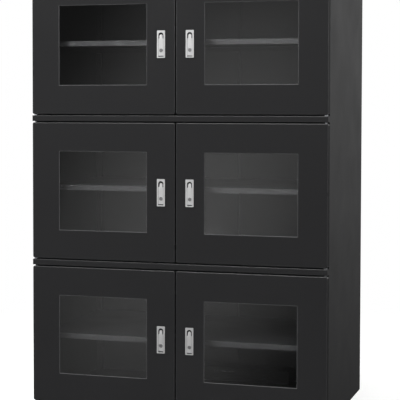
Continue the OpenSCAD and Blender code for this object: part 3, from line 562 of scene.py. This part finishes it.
# The stud's collar, then its M6 thread as rings of the coarse pitch, then its bevelled end.
STUD_X, STUD_UP = -520 * MM, 40 * MM
STUD_R, COLLAR_R, COLLAR_T = 3 * MM, 6 * MM, 2 * MM
THREADS, PITCH, THREAD_DEPTH, FIRST_THREAD = 10, 1 * MM, 0.55 * MM, 2.8 * MM
BEVEL = 0.8 * MM
zinc_plate = plated("bright_zinc_plate", "#c2c4c8", 0.34, 0.8, 0.2)
stud = (STUD_X, low.z + STUD_UP)
profile = [(0, back_y), (COLLAR_R, back_y), (COLLAR_R, back_y + COLLAR_T - 0.4 * MM),
           (COLLAR_R - 0.4 * MM, back_y + COLLAR_T), (STUD_R + 0.2 * MM, back_y + COLLAR_T),
           (STUD_R, back_y + COLLAR_T + 0.4 * MM)]
for k in range(THREADS):
    start = back_y + FIRST_THREAD + k * PITCH
    profile += [(STUD_R - THREAD_DEPTH, start + PITCH / 2), (STUD_R, start + 0.9 * PITCH)]
profile += [(STUD_R, high.y - BEVEL), (STUD_R - BEVEL, high.y), (0, high.y)]
piece("earth_stud", turned(profile, 1, stud, 48), zinc_plate, "cabinet")


# Front rails and header: channels of coated sheet, open to the back, with flanges that the
# gaskets close on. The folds at their front edges are rounded and catch the light, and their
# paler coat adds a painted highlight.
RAIL_FOLD = 1.8 * MM
FLANGE = 20 * MM
inner_x = rail_high.x
jamb_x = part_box("side_panel_right")[1].x - JAMB
door_coat = powder_coat("sandy_black_door_coat", "#1c1c1d", 0.6, 0.12, 1.2, 0.1)
shapes = []
for (z0, z1), below in zip(rails, (0.0, FLANGE, FLANGE)):
    hat = [(FRAME_Y, z0), (FRONT, z0), (FRONT, z1), (FRAME_Y, z1)]
    shapes.append(carried(folded(hat, RAIL_FOLD, -SHEET), 0, -inner_x, inner_x))
    for near, far in ((z1 - SHEET, z1 + FLANGE), (z0 - below, z0 + SHEET)):
        flange = corner_loop(SHEET, far - near, 0.1 * MM, (FRAME_Y + SHEET / 2, (near + far) / 2))
        shapes.append(carried(flange, 0, -jamb_x, jamb_x))
made = piece("rails_folded", joined(*shapes), door_coat, "cabinet", ["front_rails"])
# Painted highlight: the rails' and header's folds get the paler fold coat.
second_finish(made, fold_coat_with_painted_highlight, on_folds)
made = softened("header_fascia", door_coat, 0.5)
second_finish(made, fold_coat_with_painted_highlight, on_folds)


# Hinge pins: turned steel, zinc-plated, with a bearing washer under each door.
# They are pressed into the rails and stand in the blocks at the doors' corners.
softened("hinge_pins", zinc_plate, 0.4)


# Gaskets: hollow rubber rings on the frame, with a domed face that the door's back presses on.
# Black EPDM, extruded, so it is dull and smooth, with a faint bloom.
def moulded(name, colour, roughness, grain, depth, coat=0.0):
    """Rubber or plastic. It has a fine texture of the given size and depth in millimetres, and
    a slow bloom that makes it lighter and duller in places."""
    made, tree = blank(name)
    spot = add(tree, "ShaderNodeTexCoord")
    point = spot.outputs["Object"]
    fine = add(tree, "ShaderNodeTexNoise", {"Vector": point, "Scale": 1000.0 / grain, "Detail": 2.0})
    slow = add(tree, "ShaderNodeTexNoise", {"Vector": point, "Scale": 18.0, "Detail": 3.0})
    base = linear(colour)
    paler = (*[1.35 * v for v in base[:3]], 1.0)
    tone = add(tree, "ShaderNodeMix", {0: slow.outputs[0], 6: base, 7: paler}, data_type="RGBA")
    sheen = add(tree, "ShaderNodeMapRange",
                {0: slow.outputs[0], 1: 0.3, 2: 0.7, 3: roughness - 0.04, 4: roughness + 0.05})
    raised = add(tree, "ShaderNodeBump",
                 {"Height": fine.outputs[0], "Strength": 0.4, "Distance": depth * MM})
    shell = add(tree, "ShaderNodeBsdfPrincipled",
                {"Base Color": tone.outputs[2], "Roughness": sheen.outputs[0], "IOR": 1.5,
                 "Coat Weight": coat, "Normal": raised.outputs[0]})
    add(tree, "ShaderNodeOutputMaterial", {"Surface": shell.outputs[0]})
    return made


def framed(section, width, height, radius, centre, axis=1, **ends):
    """A section carried round a rectangle: each point of (inset, depth) is one loop."""
    loops = [corner_loop(width - 2 * inset, height - 2 * inset, radius - inset, centre)
             for inset, depth in section]
    return stack([lay(loop, axis, depth) for loop, (inset, depth) in zip(loops, section)], **ends)


black_rubber = moulded("black_epdm_rubber", "#161618", 0.62, 1.2, 0.06)
# The dome is half an ellipse. Each ring starts at GASKET_X from the cabinet's middle.
GASKET_W, GASKET_DOME, GASKET_R = 10 * MM, 2.2 * MM, 12 * MM
GASKET_X, GASKET_SHORTER = 7.25 * MM, 9 * MM
gasket_low, gasket_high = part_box("door_gaskets")
dome = np.radians(np.linspace(0, 180, 9))
section = [(0, gasket_high.y)]
section += list(zip((0.5 - 0.5 * np.cos(dome)) * GASKET_W, gasket_low.y + GASKET_DOME * (1 - np.sin(dome))))
section += [(GASKET_W, gasket_high.y)]
shapes = []
for low, high in right_doors:
    for sign in (-1.0, 1.0):
        width, height = gasket_high.x - GASKET_X, high.z - low.z - GASKET_SHORTER
        centre = (sign * (gasket_high.x + GASKET_X) / 2, (low.z + high.z) / 2)
        shapes.append(framed(section, width, height, GASKET_R, centre, closed=True))
piece("gasket_rings", joined(*shapes), black_rubber, "cabinet", ["door_gaskets"])


# Doors: two pressed steel skins welded back to back round the window, coated like the body.
# The front skin is rolled over at its outer edge and round the window, and each door has a
# bored block at its top and bottom for the hinge pins.
def rolled(radius, y, way=1.0):
    """Section of a rolled edge from a flat face at y: inset radius * (1 - sin t) and depth
    radius * (1 - cos t). way is -1 for the edge of an opening."""
    t = np.linspace(0, np.pi / 2, ARC_STEPS + 1)
    return list(zip(way * radius * (1 - np.sin(t)), y + radius * (1 - np.cos(t))))


# The light line round each window is a painted highlight: the window's rolled edge has a much
# paler coat than the door, standing in for the light that the edge catches. The skins' other rolled edges
# have the glossier fold coat, itself painted paler as a highlight.
window_lip_painted_highlight_coat = powder_coat("pale_black_coat_painted_highlight_on_window_lip", "#464647", 0.4, 0.2, 1.2, 0.02)
DOOR_R, WINDOW_R, SEAT_R = 7 * MM, 0.6 * MM, 1 * MM
FRONT_ROLL, BACK_ROLL, LIP_R = 2.6 * MM, 1.6 * MM, 2.1 * MM
SKIN = 1.5 * MM
LAP, SEAT_MORE = 8 * MM, 19 * MM
PIN_X, PIN_Y, PIN_HOLE_R, PIN_HOLE_DEEP = 590 * MM, 12 * MM, 4.1 * MM, 12 * MM
CUTOUT = (30 * MM, 101 * MM)
TAIL_R, TAIL_UP = 8 * MM, 29 * MM
for row in ("low", "mid", "top"):
    for side, sign in (("left", -1.0), ("right", 1.0)):
        name = "door_%s_%s" % (row, side)
        low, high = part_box(name + "_panel")
        glass_low, glass_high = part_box(name + "_glass")
        grip_low, grip_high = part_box(name + "_handle_housing")
        centre = np.array([(low.x + high.x) / 2, (low.z + high.z) / 2])
        size = np.array([high.x - low.x, high.z - low.z])
        window = np.array([glass_high.x - glass_low.x, glass_high.z - glass_low.z]) - 2 * LAP
        seat = window + SEAT_MORE

        # Outside: both rolled edges and the wall between them. At the top and bottom the wall
        # makes way for a flat strip with the pin's bore.
        back = [(inset, high.y - (depth - low.y)) for inset, depth in rolled(BACK_ROLL, low.y)][::-1]
        front = rolled(FRONT_ROLL, low.y)
        points, faces = framed(front + back, *size, DOOR_R, centre)
        wall = (len(front) - 1) * 4 * (CORNER_STEPS + 1)
        runs = {wall + CORNER_STEPS: (high.z, -1.0), wall + 3 * CORNER_STEPS + 2: (low.z, 1.0)}
        shapes = [(points, [f for k, f in enumerate(faces) if k not in runs])]
        strip = np.array([[1, 1], [-1, 1], [-1, -1], [1, -1]])
        strip = strip * [size[0] / 2 - DOOR_R, (high.y - low.y - FRONT_ROLL - BACK_ROLL) / 2]
        strip += [centre[0], (front[-1][1] + back[0][1]) / 2]
        bore = circle(PIN_HOLE_R, (sign * PIN_X, low.y + PIN_Y))
        for z, inward in runs.values():
            shapes.append(filled(strip, [bore], 2, z))
            shapes.append(stack([lay(bore, 2, z), lay(bore, 2, z + inward * PIN_HOLE_DEEP)], last=True))

        # Window: its rolled edge, the seat of the pane and the wall round the pane.
        floor_y = low.y + LIP_R
        shapes.append(framed(rolled(LIP_R, low.y, -1.0), *window, WINDOW_R, centre))
        shapes.append(filled(corner_loop(*seat, SEAT_R, centre), [corner_loop(*window, WINDOW_R, centre)],
                             1, floor_y))
        shapes.append(framed([(0, floor_y), (0, high.y - SHEET), (-SHEET, high.y)], *seat, SEAT_R, centre))

        # Front and back faces, with the cut-outs for the handle and for the lock's tail.
        grip = np.array([(grip_low.x + grip_high.x) / 2, centre[1]])
        cutout = corner_loop(*CUTOUT, 0.5 * MM, grip)
        tail = circle(TAIL_R, (grip[0], grip_low.z + TAIL_UP))
        lip = corner_loop(*(window + 2 * LIP_R), WINDOW_R + LIP_R, centre)
        edge = corner_loop(*(size - 2 * FRONT_ROLL), DOOR_R - FRONT_ROLL, centre)
        back_edge = corner_loop(*(size - 2 * BACK_ROLL), DOOR_R - BACK_ROLL, centre)
        back_hole = corner_loop(*(seat + 2 * SHEET), SEAT_R + SHEET, centre)
        shapes += [filled(edge, [lip, cutout], 1, low.y), filled(back_edge, [back_hole, tail], 1, high.y),
                   stack([lay(cutout, 1, low.y), lay(cutout, 1, low.y + SKIN)]),
                   stack([lay(tail, 1, high.y), lay(tail, 1, high.y - SKIN)])]
        made = piece(name + "_skin", joined(*shapes), door_coat, name, [name + "_panel"])
        # Painted highlight: the door's rolled edges get the paler fold coat.
        second_finish(made, fold_coat_with_painted_highlight, on_folds)
        # Painted highlight: the window's rolled edge gets the much paler coat.
        second_finish(made, window_lip_painted_highlight_coat, lambda centres, facing: on_folds(centres, facing)
                      & (np.abs(centres[:, [0, 2]] - centre) < window / 2 + LIP_R).all(axis=1))

        # Glazing bead: an extruded rubber strip pressed in behind the glass, with mitred corners.
        bead = [(0.2, 6.5), (6.0, 6.45), (6.6, 7.2), (6.4, 8.6), (5.2, 10.2), (3.2, 11.0), (0.2, 11.1)]
        bead = [(inset * MM, FRONT + depth * MM) for inset, depth in bead]
        piece(name + "_glazing_bead", framed(bead, *seat, SEAT_R, centre, closed=True), black_rubber,
              name)


# Window panes: 4 mm clear float glass, toughened, with ground edges. Lamp light passes through
# it, and its two faces mirror a little of the room.
clear_glass, tree = blank("clear_toughened_glass")
path = add(tree, "ShaderNodeLightPath")
pane = add(tree, "ShaderNodeBsdfPrincipled",
           {"Base Color": linear("#f6f7f7"), "Roughness": 0.0, "IOR": 1.5, "Transmission Weight": 1.0})
through = add(tree, "ShaderNodeBsdfTransparent", {"Color": linear("#f0f1f1")})
both = add(tree, "ShaderNodeMixShader",
           {0: path.outputs["Is Shadow Ray"], 1: pane.outputs[0], 2: through.outputs[0]})
add(tree, "ShaderNodeOutputMaterial", {"Surface": both.outputs[0]})
for row in ("low", "mid", "top"):
    for side in ("left", "right"):
        pane = frame["nodes"]["door_%s_%s_glass" % (row, side)]
        pane.data.materials.clear()
        pane.data.materials.append(clear_glass)


# Handles: recessed lever locks. The housing and lever are die-cast zinc with satin chrome
# plating. Inside the pocket the housing is a dark, dull zinc: painted shade, standing in for the
# shade of the deep recess. The plug and its barrel are dull nickel, and the cam and nut behind
# the door are zinc-plated steel. The lever is a plate with rolled edges, whose tongue slopes back
# from a crease at its root, and two sides with the pivot's holes.
def inset(ring, depth):
    """A ring moved inwards by a depth: each point goes against its outward normal, the mean of
    those of the two sides that meet there."""
    ahead = np.roll(ring, -1, axis=0) - ring
    ahead /= np.linalg.norm(ahead, axis=1)[:, None]
    normal = np.stack([ahead[:, 1], -ahead[:, 0]], 1)
    normal = normal + np.roll(normal, 1, axis=0)
    return ring - normal / np.linalg.norm(normal, axis=1)[:, None] * depth


LEVER_T = 4.0 * MM
LEVER_EDGE = 0.8 * MM
TONGUE_W = 12.8 * MM
TONGUE_H = 16.5 * MM
TONGUE_SLOPE = 1.2 * MM
KEY_HOLE_R, KEY_HOLE_EDGE = 7.2 * MM, 0.4 * MM
LEVER_R = 1.2 * MM
CREASE_W = 10 * MM
LUG_H, LUG_R, PIVOT_HOLE_R = 7 * MM, 2 * MM, 1.8 * MM
KEY_UP = 21.0 * MM
PIVOT_UP = 4.5 * MM
PIVOT_Y = 3.5 * MM
POCKET_Y, POCKET_REACH, POCKET_UNDER, POCKET_OVER = FRONT - 1.9 * MM, 11 * MM, 4 * MM, 8 * MM
BARREL_REACH = 6.5 * MM
PLUG_Y = FRONT + 2 * MM
satin_chrome = plated("satin_chrome_plate", "#cecece", 0.7, 0.5, 0.1, (1.0, 1.0, 0.15))
# Dark dull zinc for the inside of the pocket: painted shade.
pocket_shade_zinc = plated("dark_zinc_painted_pocket_shade", "#4a4b4d", 0.65, 0.8, 0.2)
dull_nickel = plated("dull_nickel_plate", "#8b8b8c", 0.6, 0.5, 0.15)
for row in ("low", "mid", "top"):
    for side in ("left", "right"):
        name = "door_%s_%s" % (row, side)
        low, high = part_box(name + "_lever")
        middle, wide = (low.x + high.x) / 2, (high.x - low.x) / 2
        root, tip = high.z - TONGUE_H, high.z - TONGUE_W / 2
        key = np.array([middle, low.z + KEY_UP])
        half = bend([(0, low.z), (wide, low.z), (wide, root), (TONGUE_W / 2, root), (TONGUE_W / 2, tip)],
                    LEVER_R)
        t = np.linspace(0, np.pi / 2, 9)[1:]
        half = np.vstack([half, np.stack([np.cos(t) * TONGUE_W / 2, tip + np.sin(t) * TONGUE_W / 2], 1)])
        outline = np.vstack([half, half[-2:0:-1] * [-1, 1]]) + [middle, 0]
        edge = rolled(LEVER_EDGE, low.y)
        crease = np.array([[middle - CREASE_W / 2, root], [middle + CREASE_W / 2, root]])
        mouth = circle(KEY_HOLE_R + KEY_HOLE_EDGE, key)
        front, front_faces = joined(filled(inset(outline, LEVER_EDGE), [mouth, crease], 1, low.y),
                                    stack([lay(inset(outline, inward), 1, depth) for inward, depth in edge]))
        front[:, 1] += np.clip((front[:, 2] - root) / TONGUE_H, 0, 1) * TONGUE_SLOPE
        rear = low.y + LEVER_T
        rim = lay(outline, 1, edge[-1][1])
        rim[:, 1] += np.clip((rim[:, 2] - root) / TONGUE_H, 0, 1) * TONGUE_SLOPE
        hole = [(KEY_HOLE_R + KEY_HOLE_EDGE, low.y), (KEY_HOLE_R, low.y + KEY_HOLE_EDGE), (KEY_HOLE_R, rear)]
        sunk = rear - 0.2 * MM
        lug = corner_loop(high.y - sunk, LUG_H, LUG_R, ((high.y + sunk) / 2, low.z + PIVOT_UP))
        pivot = circle(PIVOT_HOLE_R, (FRONT + PIVOT_Y, low.z + PIVOT_UP), 24)
        shape = joined((front, front_faces), stack([rim, lay(outline, 1, rear)]),
                       filled(outline, [circle(KEY_HOLE_R, key)], 1, rear),
                       stack([lay(circle(r, key), 1, at) for r, at in hole]),
                       pressed(lug, [pivot], 0, low.x, high.x))
        piece(name + "_lever_cast", shape, satin_chrome, "lever_%s_%s" % (row, side),
              [name + "_lever"])

        # The pocket's faces, then those of the barrel in it, and the plug's front.
        housing = softened(name + "_handle_housing", satin_chrome, 0.5)
        # Painted shade: the pocket's faces get the dark zinc.
        second_finish(housing, pocket_shade_zinc, lambda centres, facing: (centres[:, 1] > POCKET_Y)
                      & (np.abs(centres[:, 0] - middle) < POCKET_REACH)
                      & (centres[:, 2] > low.z - POCKET_UNDER) & (centres[:, 2] < high.z + POCKET_OVER))
        second_finish(housing, dull_nickel, lambda centres, facing:
                      np.hypot(centres[:, 0] - key[0], centres[:, 2] - key[1]) < BARREL_REACH)
        lock = softened(name + "_lock", zinc_plate, 0.25)
        second_finish(lock, dull_nickel, lambda centres, facing: centres[:, 1] < PLUG_Y)


# Shelves: trays of 1.2 mm sheet with their four lips folded down over a 2 mm radius and their
# corners welded, under a smooth satin coat.
shelf_coat = powder_coat("satin_black_shelf_coat", "#272728", 0.42, 0.2, 6.0, 0.02)
low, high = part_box("shelves")
SHELF_LIP, SHELF_ROLL, SHELF_R = 21 * MM, 2 * MM, 3 * MM
levels = sorted({round(v.co.z, 5) for v in frame["nodes"]["shelves"].data.vertices})
tops = [z for z in levels if any(abs(z - SHELF_LIP - other) < 0.1 * MM for other in levels)]
shapes = []
for z in tops:
    section = [(SHEET, z - SHEET), (SHEET, z - SHELF_LIP), (0, z - SHELF_LIP)]
    section += [(inset, 2 * z - depth) for inset, depth in rolled(SHELF_ROLL, z)][::-1]
    shapes.append(framed(section, high.x - low.x, high.y - low.y, SHELF_R,
                         ((low.x + high.x) / 2, (low.y + high.y) / 2), axis=2, first=True, last=True))
piece("shelf_trays", joined(*shapes), shelf_coat, "cabinet", ["shelves"])
# The uprights and clips take the paler inside coat: painted light.
uprights = frame["nodes"]["shelf_uprights"]
uprights.data.materials.clear()
uprights.data.materials.append(inside_coat_painted_paler)
softened("shelf_clips", inside_coat_painted_paler, 0.3)


# Drying unit: a housing of dull black sheet on the chamber's floor. Each slot in its front was
# cut and pressed into a louvre, whose hood is a short folded sheet that curves down behind it.
LOUVRES, LOUVRE_ROWS = 14, 3
LOUVRE_W, LOUVRE_H, LOUVRE_GAP = 28 * MM, 4 * MM, 8 * MM
HOOD_WIDER, HOOD_FOLD, HOOD_T = 1 * MM, 1.5 * MM, 0.8 * MM
DRYER_SHEET = 1.9 * MM
dryer_coat = powder_coat("matt_black_dryer_coat", "#1e1e1f", 0.6, 0.25, 6.0, 0.02)
softened("drying_unit", dryer_coat, 0.6)
inside = dryer_low.y + DRYER_SHEET
shapes = []
for k in range(LOUVRE_ROWS):
    z = vent_z + (k - (LOUVRE_ROWS - 1) / 2) * (LOUVRE_H + LOUVRE_GAP)
    line = [(inside, z + 2.9 * MM), (inside + 2.6 * MM, z + 2.2 * MM), (inside + 4 * MM, z - 2.6 * MM)]
    hood = folded(line, HOOD_FOLD, HOOD_T)
    for n in range(LOUVRES):
        x = (dryer_low.x + dryer_high.x) / 2 + (n - (LOUVRES - 1) / 2) * (LOUVRE_W + LOUVRE_GAP)
        reach = LOUVRE_W / 2 + HOOD_WIDER
        shapes.append(carried(hood, 0, x - reach, x + reach))
piece("drying_unit_louvres", joined(*shapes), dryer_coat, "cabinet")


# Humidity display: a moulded black bezel with a sunk window of smoked acrylic, and two grey
# buttons, turned profiles with dished caps. It is off, so the window is dark.
DISPLAY_WINDOW = (59.2 * MM, 25.2 * MM)
DISPLAY_WINDOW_X, DISPLAY_SUNK = -18 * MM, 0.6 * MM
black_abs = moulded("black_abs", "#1b1b1d", 0.45, 0.7, 0.05)
grey_abs = moulded("grey_abs", "#6e7073", 0.5, 0.7, 0.05)
smoked_acrylic = moulded("smoked_acrylic", "#0c0c0e", 0.14, 2.0, 0.01, coat=0.5)
softened("humidity_display", black_abs, 0.5)
low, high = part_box("humidity_display")
sunk = low.y + DISPLAY_SUNK
section = [(0, sunk), (0, sunk - 0.3 * MM), (0.2 * MM, sunk - 0.45 * MM)]
shape = framed(section, *DISPLAY_WINDOW, 1 * MM, (DISPLAY_WINDOW_X, (low.z + high.z) / 2),
               first=True, last=True)
piece("display_window", shape, smoked_acrylic, "cabinet")
for node in ("button_up", "button_down"):
    low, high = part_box(node)
    radius = (high.x - low.x) / 2
    cap = [(0, 0.45 * MM), (0.35 * radius, 0.38 * MM), (0.65 * radius, 0.2 * MM), (0.84 * radius, 0),
           (0.93 * radius, 0.08 * MM), (0.99 * radius, 0.3 * MM), (radius, 0.6 * MM)]
    cap = [(r, low.y + depth) for r, depth in cap] + [(radius, high.y), (0, high.y)]
    piece(node + "_cap", turned(cap, 1, ((low.x + high.x) / 2, (low.z + high.z) / 2)), grey_abs,
          frame["nodes"][node]["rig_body"], [node])


# Mains inlet: a moulded socket in the back panel with three nickel-plated blades, held by two
# zinc-plated screws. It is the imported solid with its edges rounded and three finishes.
SCREW_SPREAD, SCREW_REACH, SCREW_PROUD = 20 * MM, 3 * MM, 1.4 * MM
BLADE_SPREAD, BLADE_LIFT = 7 * MM, 2 * MM
BLADE_REACH = (1.2 * MM, 2.2 * MM)
BLADE_ROOT, BLADE_TIP = 18.4 * MM, 5 * MM
inlet = softened("power_inlet", black_abs, 0.4)
second_finish(inlet, zinc_plate, lambda centres, facing: (centres[:, 1] > inlet_high.y - SCREW_PROUD)
              & (np.abs(np.abs(centres[:, 0] - inlet_middle[0]) - SCREW_SPREAD) < SCREW_REACH))
blades = np.array([(-BLADE_SPREAD, -BLADE_LIFT), (0, BLADE_LIFT), (BLADE_SPREAD, -BLADE_LIFT)])
blades += inlet_middle


def on_blades(centres, facing):
    """True for faces within reach of a blade's middle, across and upwards, in the socket."""
    near = (np.abs(centres[:, None, [0, 2]] - blades) < BLADE_REACH).all(axis=2).any(axis=1)
    return near & (np.abs(inlet_high.y - (BLADE_ROOT + BLADE_TIP) / 2 - centres[:, 1])
                   < (BLADE_ROOT - BLADE_TIP) / 2)


second_finish(inlet, dull_nickel, on_blades)


# Casters: pressed forks with ball races, zinc-plated. The wheels have a grey nylon hub with a
# grey rubber tread moulded on, both turned profiles: the tread is a little crowned and its
# shoulders are quarter circles. The front ones have a brake pedal with a shoe for the tread.
TREAD, SHOULDER, CROWN = 8 * MM, 3 * MM, 0.3 * MM
HUB_PROUD, HUB_R, BORE_R = 0.7 * MM, 10 * MM, 4.3 * MM
WEB_SUNK, AROUND = 4 * MM, 72
grey_rubber = moulded("grey_thermoplastic_rubber", "#4c4e51", 0.6, 1.4, 0.08)
grey_nylon = moulded("grey_nylon", "#7b7d80", 0.42, 0.9, 0.05)
softened("caster_mounts", zinc_plate, 0.5)
for end in ("front", "back"):
    for side in ("left", "right"):
        name = "caster_%s_%s" % (end, side)
        softened(name + "_fork", zinc_plate, 0.6)
        if end == "front":
            softened(name + "_brake", zinc_plate, 0.5)
        low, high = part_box(name + "_wheel")
        body = frame["nodes"][name + "_wheel"]["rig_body"]
        radius, wide = (high.z - low.z) / 2, (high.x - low.x) / 2 - HUB_PROUD
        middle, axle = (low.x + high.x) / 2, ((low.y + high.y) / 2, (low.z + high.z) / 2)
        t = np.linspace(0, np.pi / 2, 7)
        face = np.linspace(SHOULDER - wide, wide - SHOULDER, 9)[1:-1]
        shoulder = radius - CROWN
        tread = [(radius - TREAD, -wide)]
        tread += list(zip(shoulder - SHOULDER * (1 - np.sin(t)), SHOULDER * (1 - np.cos(t)) - wide))
        tread += list(zip(radius - CROWN * (face / (wide - SHOULDER)) ** 2, face))
        tread += list(zip(shoulder - SHOULDER * (1 - np.cos(t)), wide - SHOULDER * (1 - np.sin(t))))
        tread += [(radius - TREAD, wide)]
        rim = radius - TREAD
        hub = [(BORE_R, wide + HUB_PROUD), (HUB_R - 0.6 * MM, wide + HUB_PROUD), (HUB_R, wide),
               (HUB_R + 2 * MM, wide - WEB_SUNK), (rim - 4 * MM, wide - WEB_SUNK),
               (rim - 2.5 * MM, wide - 1.2 * MM), (rim, wide - 0.8 * MM)]
        hub += [(r, -x) for r, x in hub[::-1]]
        for part, profile, material, stands_for in (("tread", tread, grey_rubber, [name + "_wheel"]),
                                                    ("hub", hub, grey_nylon, [])):
            shape = turned([(r, middle + x) for r, x in profile], 0, axle, AROUND, closed=True)
            piece("%s_%s" % (name, part), shape, material, body, stands_for)
